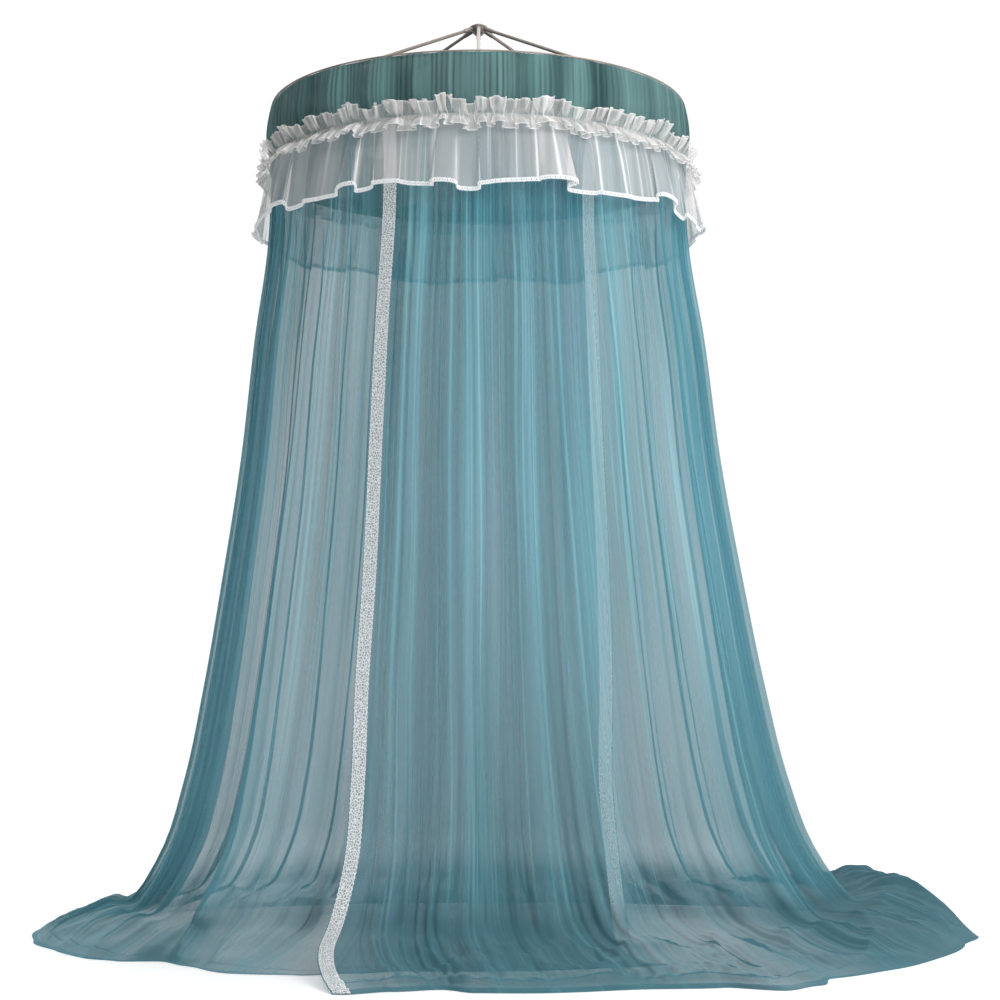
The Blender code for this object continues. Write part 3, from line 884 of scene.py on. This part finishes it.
def crumple(x, y):
    """Crossing soft ridges of cloth that lies on the floor, 0 to 1."""
    total = 0.0
    for ax, ay, scale, phase in RIDGES:
        warp = 1.1 * np.sin(3.1 * x + 2.3 * y + phase) + 0.8 * np.sin(7.3 * y - 4.1 * x + 2 * phase)
        ridge = 1 - np.abs(np.sin((ax * x + ay * y) * scale / 4 + warp + phase))
        total = total + ridge**2 * 12 / scale
    return total


def rows_at(table, heights_down):
    """The table's numbers carried smoothly down a band: radius, wave, ripple and fine, by row."""
    knots = np.array([table[0].height - row.height for row in table])
    values = np.array([[row.height, row.radius, row.wave, row.ripple, row.fine] for row in table])
    return smooth_rows(knots, values, heights_down).T[:, :, None]


# -------------------------------------------------------------------------------------- settings


def colour_property(name, description, default):
    return FloatVectorProperty(
        name=name, description=description, default=default, subtype="COLOR", size=3, min=0.0, max=1.0
    )


def length_property(name, description, default):
    return FloatProperty(name=name, description=description, default=default, unit="LENGTH")


def share_property(name, description, default):
    return FloatProperty(name=name, description=description, default=default, min=0.0, max=1.0)


def strength_property(name, description, default=1.0):
    return FloatProperty(name=name, description=description, default=default)


class CanopyCloth(bpy.types.PropertyGroup):
    """Sizes of the cloth's own folds and trims."""

    panel_width: length_property("Panel width", "Width each net panel is cut to", 4.35)
    middle_folds: strength_property("Middle folds", "Depth of the folds between the main ones")
    gathers: strength_property("Gathers", "Depth of the fine gathers")
    crumples: length_property("Crumples", "Height of the crumples where the net lies on the floor", 0.020)
    ruffle_depth: strength_property("Ruffle depth", "How strongly the ruffle is pleated")
    lace_cell: length_property("Lace cell", "Size of the lace's openings", 0.007)
    lace_scallop: length_property("Lace scallop", "Length of one scallop of the lace", 0.012)
    braid_wave: length_property("Braid wave", "Length of one wave of the braid", 0.014)


class CanopyFinish(bpy.types.PropertyGroup):
    """Colours and densities of the cloth and the frame."""

    net_deep: colour_property("Net, deep", "Colour of the net where it is dense", (0.028, 0.165, 0.208))
    net_light: colour_property("Net, light", "Colour of the net where it is thin", (0.112, 0.360, 0.425))
    net_cast: colour_property("Net, cast", "Colour over broad parts of the net", (0.088, 0.250, 0.345))
    # Painted shade: the panels are drawn towards this colour where dense, on steep fold flanks and in heaps,
    # and down their lower part.
    net_shade: colour_property("Net, heaped", "Colour of the net heaped on the floor", (0.040, 0.118, 0.146))
    # The crown's deep colour is also its painted shade on the flanks of its folds.
    crown_deep: colour_property("Crown, deep", "Colour of the crown in its folds", (0.010, 0.044, 0.048))
    crown_light: colour_property("Crown, light", "Colour of the crown on its crests", (0.150, 0.290, 0.290))
    organza: colour_property("Voile", "Colour of the valance and ruffle", (0.86, 0.84, 0.83))
    lace: colour_property("Lace", "Colour of the lace tapes", (0.92, 0.93, 0.94))
    braid: colour_property("Braid", "Colour of the valance's braid", (0.78, 0.79, 0.80))
    metal: colour_property("Frame", "Colour of the frame's enamel", (0.34, 0.29, 0.26))
    net_alpha: share_property("Net density", "How much of the view the net covers", 0.53)
    crown_alpha: share_property("Crown density", "How much the crown covers", 0.86)
    organza_alpha: share_property("Voile density", "How much the voile covers", 0.34)


class CanopyStage(bpy.types.PropertyGroup):
    """The floor and the light."""

    floor_radius: length_property("Floor radius", "Radius of the pale floor", 60.0)
    floor_colour: colour_property("Floor", "Colour of the floor", (0.97, 0.97, 0.97))
    light: strength_property("Light", "Strength of the soft surrounding light", 1.04)


# -------------------------------------------------------------------------------------- operators


class CANOPY_OT_frame(bpy.types.Operator):
    """Finishes the hub, the hoop and the ribs, and adds the ribs' sockets"""

    bl_idname = "canopy.frame"
    bl_label = "Frame"

    def execute(self, context):
        finish = metal_finish("taupe enamel", context.scene.canopy_finish.metal)
        for name in ["hub", "hoop"] + [f"rib_{n + 1}" for n in range(RIB_COUNT)]:
            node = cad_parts[name]
            for slot in node.material_slots:
                slot.material = finish
        rise = HANG_HEIGHT - HUB_RIM_DEPTH - HUB_SEAT_LENGTH / 2 - HOOP_HEIGHT
        slope = math.atan2(rise, HOOP_RADIUS - HUB_RADIUS)
        seat = HUB_RADIUS - HUB_SEAT_LENGTH / 2 * math.sin(slope)
        drop = HUB_RIM_DEPTH + HUB_SEAT_LENGTH / 2 * math.cos(slope)
        sockets = bmesh.new()
        for number in range(RIB_COUNT):
            bearing = -90.0 + number * FULL_TURN / RIB_COUNT
            inner = Vector(place(bearing, seat, HANG_HEIGHT - drop))
            outer = Vector(place(bearing, HOOP_RADIUS, HOOP_HEIGHT))
            along = (outer - inner).normalized()
            self.socket(sockets, inner, inner + along * SOCKET_LENGTH, HUB_SOCKET)
            self.socket(sockets, outer - along * SOCKET_LENGTH, outer - along * HOOP_TUBE_ROOM, HOOP_SOCKET)
        piece = link("rib_sockets", mesh_of("rib_sockets", sockets), finish, "frame_metal")
        bevel = piece.modifiers.new("rounded", "BEVEL")
        bevel.width = 0.0012
        bevel.segments = 2
        return {"FINISHED"}

    def socket(self, shape, start, end, radius):
        """A short sleeve round a rib, narrower towards its end."""
        along = end - start
        made = bmesh.ops.create_cone(
            shape,
            cap_ends=True,
            segments=20,
            radius1=radius,
            radius2=radius * SOCKET_TAPER,
            depth=along.length,
        )["verts"]
        turn = Vector((0, 0, 1)).rotation_difference(along.normalized()).to_matrix()
        bmesh.ops.rotate(shape, verts=made, matrix=turn)
        bmesh.ops.translate(shape, verts=made, vec=(start + end) / 2)


class CANOPY_OT_roof(bpy.types.Operator):
    """Makes the sagging net roof, gathered to its middle"""

    bl_idname = "canopy.roof"
    bl_label = "Roof"

    def execute(self, context):
        spokes, rings = 480, 24
        turns = np.linspace(0.0, FULL_TURN, spokes + 1)
        share = np.linspace(0.0, 1.0, rings + 1)[:, None]
        slack = np.sin(math.pi * share)
        wave = sum(depth * np.cos(np.radians(turns) * folds) for folds, depth in ROOF_FOLDS)
        edge = HOOP_HEIGHT - HOOP_TUBE - GAP - NET_THICKNESS / 2
        height = edge - ROOF_SAG * eased(share) + (wave - ROOF_SLACK) * slack
        spots = place(turns, HOOP_RADIUS * (1 - share), height)
        # Denser towards the hub, where it is gathered; the crown net's painted shade darkens it there too.
        dense = 0.25 + 0.6 * share + 0 * turns
        along = turns / FULL_TURN * 3.0
        mesh = cloth("roof", spots, along, share[:, 0] * HOOP_RADIUS, dense, closed=True)
        roof = link("roof_cloth", mesh, crown_net(context), "crown_net", "roof")
        return {"FINISHED"}


def crown_net(context):
    """The close-gathered net of the crown band and the roof."""
    name = "crown net"
    if name in bpy.data.materials:
        return bpy.data.materials[name]
    look = context.scene.canopy_finish
    cast = [0.3 * a + 0.7 * b for a, b in zip(look.crown_deep, look.crown_light)]
    given = Sheer(
        alpha=look.crown_alpha, flank=0.12, streak=0.22, line=0.05, flank_tone=-0.25, line_tone=0.18,
        broad=0.22, fine=0.08, wide_scale=4.6, fine_scale=30.0,
    )
    # The deep colour doubles as the crown's painted shade, and the negative flank tone darkens its fold
    # flanks.
    return sheer(name, look.crown_deep, look.crown_light, cast, look.crown_deep, given)


class CANOPY_OT_crown(bpy.types.Operator):
    """Makes the gathered band round the hoop, and the rim above it"""

    bl_idname = "canopy.crown"
    bl_label = "Crown band"

    def execute(self, context):
        look = context.scene.canopy_finish
        columns, rows = 1500, 24
        turns = np.linspace(0.0, FULL_TURN, columns + 1)
        folds = Folds(0.0, FULL_TURN, CROWN_FOLDS, seed=3)
        fine = Folds(0.0, FULL_TURN, CROWN_GATHERS, seed=4)
        down = np.linspace(0.0, CROWN[0].height - CROWN[-1].height, rows + 1)
        height, radius, wave, _, depth = rows_at(CROWN, down)
        gathers = depth * fine.wave(turns) * context.scene.canopy_cloth.gathers
        out = radius + wave * folds.wave(turns) + gathers
        spots = place(turns + 0.10 * fine.doubling(turns), out, height + 0 * turns)
        mesh = cloth("crown_band", spots, turns / FULL_TURN * 7.6, down, closed=True)
        crown = link("crown_band_cloth", mesh, crown_net(context), "crown_net", "crown_band")
        steps = np.linspace(0.0, FULL_TURN, 361)[:-1]
        path = place(steps, HOOP_RADIUS + HOOP_TUBE + RIM_OUT, HOOP_HEIGHT + RIM_UP)
        rim = tube("rim", path, RIM_CORD, 8)
        link("crown_rim", rim, metal_finish("rim enamel", look.metal), "frame_metal")
        return {"FINISHED"}


class CANOPY_OT_panels(bpy.types.Operator):
    """Drapes the two net panels and sews the lace to their free edges"""

    bl_idname = "canopy.panels"
    bl_label = "Net panels and lace"

    def execute(self, context):
        look, sizes = context.scene.canopy_finish, context.scene.canopy_cloth
        hem_at = FALL[0].height - FALL[-1].height + TRAIL_LENGTH - HEM_TURN
        given = Sheer(
            alpha=look.net_alpha, flank=0.10, streak=0.18, line=0.10, flank_tone=0.0, line_tone=0.50,
            broad=0.12, fine=0.26, wide_scale=6.5, fine_scale=50.0, heap=0.14, doubled_tone=0.55,
        )
        net = sheer("teal net", look.net_deep, look.net_light, look.net_cast, look.net_shade, given, hem_at)
        # Painted light: both tapes glow (emission), the inner one more, for the light that comes through the
        # net onto it.
        for name, edge, side, hem, heap, seed, length, glow in (
            ("net_left", LEFT_EDGE, -1, LEFT_HEM, LEFT_HEAP, 5, LEFT_LACE_LENGTH, 0.42),
            ("net_right", RIGHT_EDGE, 1, RIGHT_HEM, RIGHT_HEAP, 8, RIGHT_LACE_LENGTH, 0.08),
        ):
            title = name.replace("net", "openwork lace").replace("_", " ")
            lace = lace_finish(title, look.lace, LACE_WIDTH, sizes.lace_cell, glow)
            drape = Drape(name, edge, side, hem, heap, seed, sizes)
            panel = drape.build(net)
            tape = drape.build_lace(name.replace("net", "lace"), lace, sizes.lace_scallop)
        return {"FINISHED"}


class CANOPY_OT_valance(bpy.types.Operator):
    """Makes the valance's skirt, its ruffle and the braid on its hem"""

    bl_idname = "canopy.valance"
    bl_label = "Valance"

    def skirt(self, turns, down, folds, fine):
        """The skirt's points, its folds leaning over and its hem in wide swags."""
        height, radius, wave, ripple, depth = rows_at(SKIRT, down)
        swing, over = folds.leaning(turns, 0.85)
        slip = 0.32 * over + 0.06 * fine.doubling(turns)
        out = radius + wave * swing + depth * fine.wave(turns)
        swag = swing + 0.8 * np.sin(np.radians(turns) * 9 + 0.8)
        return place(turns + wave / SKIRT[-1].wave * slip, out, height + ripple * swag)

    def execute(self, context):
        look, sizes = context.scene.canopy_finish, context.scene.canopy_cloth
        given = Sheer(
            alpha=look.organza_alpha, flank=0.60, streak=0.34, line=0.26, flank_tone=0.50, line_tone=0.60,
            broad=0.10, fine=0.25, wide_scale=6.0, fine_scale=40.0,
        )
        pleated = given._replace(
            alpha=look.organza_alpha - 0.13, flank=0.75, streak=0.30, line=0.24, flank_tone=0.60,
            broad=0.0, fine=0.35, wide_scale=8.0, fine_scale=55.0,
        )
        folds = Folds(-90.0, 270.0, VALANCE_FOLDS, seed=11)
        # Every other fold is slight, so the hem falls in wide swags.
        pick = random.Random(14)
        slight, deep = (0.08, 0.40), (0.80, 1.20)
        folds.depths *= [pick.uniform(*(deep if n % 2 else slight)) for n in range(VALANCE_FOLDS)]
        fine = Folds(-90.0, 270.0, VALANCE_GATHERS, seed=12, spread=2.0, shallow=0.1)

        valance = self.valance(folds, fine, self.voile("white voile", look.organza, given))
        ruffle = self.ruffle(folds, sizes.ruffle_depth, self.voile("ruffled voile", look.organza, pleated))
        braid = self.braid(folds, fine, sizes.braid_wave, thread_finish("white cord", look.braid))
        return {"FINISHED"}

    def voile(self, name, organza, given):
        # The grey copy is the voile's tone in its random streaks; the bright copy is painted light where the
        # voile is dense.
        grey = [part * 0.80 for part in organza]
        bright = [min(1.0, part * 1.12) for part in organza]
        return sheer(name, grey, organza, organza, bright, given)

    def valance(self, folds, fine, finish):
        turns = np.linspace(-90.0, 270.0, 1201)
        down = np.linspace(0.0, SKIRT[0].height - SKIRT[-1].height, 25)
        spots = self.skirt(turns, down, folds, fine)
        mesh = cloth("valance", spots, (turns + 90) / FULL_TURN * 5.4, down, closed=True)
        return link("valance_cloth", mesh, finish, "white_organza", "valance")

    def ruffle(self, folds, strength, finish):
        """The ruffle's pleats, with tucks between them and the skirt's own folds behind."""
        pleats = Folds(-90.0, 270.0, RUFFLE_PLEATS, seed=13, spread=1.5, shallow=0.5)
        tucks = Folds(-90.0, 270.0, RUFFLE_TUCKS, seed=15, spread=1.5, shallow=0.2)
        turns = np.linspace(-90.0, 270.0, 2801)
        down = np.linspace(0.0, RUFFLE[0].height - RUFFLE[-1].height, 21)
        height, radius, wave, ripple, depth = rows_at(RUFFLE, down)
        hump, pleat, tuck = folds.wave(turns), pleats.wave(turns), tucks.wave(turns)
        share = (down / down[-1])[:, None]
        out = radius + (depth * (pleat + 0.35 * tuck) + 0.5 * wave * hump) * strength
        # Each pleat leans its own way, so the pleats cross in zigzags.
        lean = (share - 0.5) * pleats.way(turns) * np.abs(pleat) * 2.2
        doubled = 0.25 * pleats.doubling(turns) + 0.30 * tucks.doubling(turns)
        moved = turns + depth / RUFFLE[0].fine * doubled + lean
        zigzag = 0.008 * pleat * share + depth * 0.22 * tuck * (1.2 - share)
        spots = place(moved, out, height + (0.006 + ripple) * hump + zigzag)
        # The two rolled edges cover more.
        rolled = sum(np.exp(-(((down - edge) / 0.0025) ** 2)) for edge in (down[0], down[-1]))
        dense = np.clip(flank(spots) + 0.7 * rolled[:, None], 0.0, 1.0)
        mesh = cloth("ruffle", spots, (turns + 90) / FULL_TURN * 9.0, down, dense, closed=True)
        return link("ruffle_cloth", mesh, finish, "white_organza", "ruffle")

    def braid(self, folds, fine, wave_length, finish):
        """Two strands that cross along the valance's hem."""
        steps = 8
        hem = np.array([SKIRT[0].height - SKIRT[-1].height])
        path = self.skirt(np.linspace(-90.0, 270.0, 4001), hem, folds, fine)[0]
        run = np.concatenate(([0.0], np.cumsum(np.linalg.norm(np.diff(path, axis=0), axis=1))))
        waves = round(run[-1] / wave_length)
        at = np.linspace(0.0, run[-1], waves * steps + 1)[:-1]
        path = np.stack([np.interp(at, run, path[:, axis]) for axis in range(3)], axis=1)
        ahead = np.roll(path, -1, axis=0) - np.roll(path, 1, axis=0)
        outward = unit(np.cross(ahead, (0.0, 0.0, 1.0)))
        whole = bmesh.new()
        for strand, side in enumerate((-BRAID_SIDE, BRAID_SIDE)):
            phase = 2 * math.pi * (at / run[-1] * waves + strand / 2)[:, None]
            over = (NET_THICKNESS + TRIM_THICKNESS) / 2 + 2 * GAP + side * np.cos(phase)
            spots = path + outward * over + np.array((0.0, 0.0, 1.0)) * BRAID_RISE * np.sin(phase)
            mesh = tube("strand", spots, BRAID_CORD)
            whole.from_mesh(mesh)
            bpy.data.meshes.remove(mesh)
        mesh = mesh_of("valance_braid", whole)
        return link("valance_braid_cords", mesh, finish, "white_lace", "valance_braid")


class CANOPY_OT_stage(bpy.types.Operator):
    """Sets the floor, the light and the camera"""

    bl_idname = "canopy.stage"
    bl_label = "Stage"

    def execute(self, context):
        scene, stage = context.scene, context.scene.canopy_stage
        self.floor(stage)
        self.dark_card()
        world = bpy.data.worlds.new("soft studio")
        scene.world = world
        world.use_nodes = True
        sky = world.node_tree.nodes["Background"]
        sky.inputs["Color"].default_value = (1.0, 1.0, 1.0, 1.0)
        sky.inputs["Strength"].default_value = stage.light
        self.lamp("key", (3.4, -4.4, 1.2), (0, 0, -0.6), 2.4, 112)
        self.lamp("fill", (-3.8, -3.4, -0.9), (0, 0, -2.2), 2.4, 30)
        self.lamp("back", (0.5, 4.5, 1.8), (0, 0, -1.2), 3.0, 50)

        lens = bpy.data.cameras.new("photo view")
        lens.sensor_width = SENSOR_WIDTH
        lens.lens = FOCAL_LENGTH
        lens.clip_end = 200.0
        scene.camera = in_scene("photo view", lens)
        scene.camera.location = CAMERA_PLACE
        scene.camera.rotation_euler = (math.radians(90.0 + CAMERA_RISE), 0.0, math.radians(CAMERA_TURN))
        scene.view_settings.view_transform = "Standard"
        scene.cycles.transparent_max_bounces = 48
        return {"FINISHED"}

    def floor(self, stage):
        """A pale floor that glows a little near the canopy, so it meets the white behind it."""
        disc = bmesh.new()
        bmesh.ops.create_circle(disc, cap_ends=True, segments=96, radius=stage.floor_radius)
        bmesh.ops.translate(disc, verts=disc.verts, vec=(0.0, 0.0, -HANG_HEIGHT))
        made, tree, shader = new_material("pale floor", Roughness=0.9, Emission_Color=(1.0, 1.0, 1.0, 1.0))
        spot = tree.object_map()
        tone = tree.blend(tree.noise(spot, 0.6), full(stage.floor_colour, 0.98), full(stage.floor_colour))
        away = tree.add("ShaderNodeVectorMath", {0: spot}, operation="LENGTH").outputs["Value"]
        glow = tree.ramp(away, 2.5, 9.0, start=0.16, end=0.035)
        tree.fill(shader, Base_Color=tone, Emission_Strength=glow)
        in_scene("floor", mesh_of("floor", disc), made)

    def dark_card(self):
        """A dark card, out of the picture, takes the light from the upper left as in the photograph."""
        card = bmesh.new()
        bmesh.ops.create_grid(card, x_segments=1, y_segments=1, size=0.5)
        bmesh.ops.scale(card, verts=card.verts, vec=(3.0, 3.4, 1.0))
        for degrees, axis in ((90.0, "Y"), (25.0, "Z")):
            turn = Matrix.Rotation(math.radians(degrees), 3, axis)
            bmesh.ops.rotate(card, verts=card.verts, matrix=turn)
        bmesh.ops.translate(card, verts=card.verts, vec=(-1.70, -1.25, 2.35 - HANG_HEIGHT))
        made, *_ = new_material("dark card", Roughness=1.0, Base_Color=(0.02, 0.02, 0.02, 1.0))
        piece = in_scene("light_card", mesh_of("light_card", card), made)
        piece.visible_camera = False

    def lamp(self, name, spot, aim, size, power):
        """A square soft lamp at a spot, turned to its aim."""
        lamp = bpy.data.lights.new(name, "AREA")
        lamp.size = size
        lamp.energy = power
        light = in_scene(name, lamp)
        light.location = spot
        light.rotation_euler = (Vector(aim) - Vector(spot)).to_track_quat("-Z", "Y").to_euler()


class CANOPY_PT_main(bpy.types.Panel):
    """The canopy's pieces and sizes"""

    bl_idname = "CANOPY_PT_main"
    bl_label = "Canopy"
    bl_space_type = "VIEW_3D"
    bl_region_type = "UI"
    bl_category = "Canopy"

    def draw(self, context):
        layout, scene = self.layout, context.scene
        for operator in OPERATORS:
            layout.operator(operator.bl_idname)
        for group in (scene.canopy_cloth, scene.canopy_finish, scene.canopy_stage):
            box = layout.box()
            for name in group.bl_rna.properties.keys():
                if name not in ("rna_type", "name"):
                    box.prop(group, name)


OPERATORS = (
    CANOPY_OT_frame,
    CANOPY_OT_roof,
    CANOPY_OT_crown,
    CANOPY_OT_panels,
    CANOPY_OT_valance,
    CANOPY_OT_stage,
)
GROUPS = (("canopy_cloth", CanopyCloth), ("canopy_finish", CanopyFinish), ("canopy_stage", CanopyStage))


def register():
    for name, group in GROUPS:
        bpy.utils.register_class(group)
        setattr(bpy.types.Scene, name, PointerProperty(type=group))
    for operator in OPERATORS:
        bpy.utils.register_class(operator)
    bpy.utils.register_class(CANOPY_PT_main)


def unregister():
    bpy.utils.unregister_class(CANOPY_PT_main)
    for operator in reversed(OPERATORS):
        bpy.utils.unregister_class(operator)
    for name, group in reversed(GROUPS):
        delattr(bpy.types.Scene, name)
        bpy.utils.unregister_class(group)


def main():
    register()
    for step in ("frame", "roof", "crown", "panels", "valance", "stage"):
        getattr(bpy.ops.canopy, step)()
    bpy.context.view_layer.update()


if __name__ == "__main__":
    main()
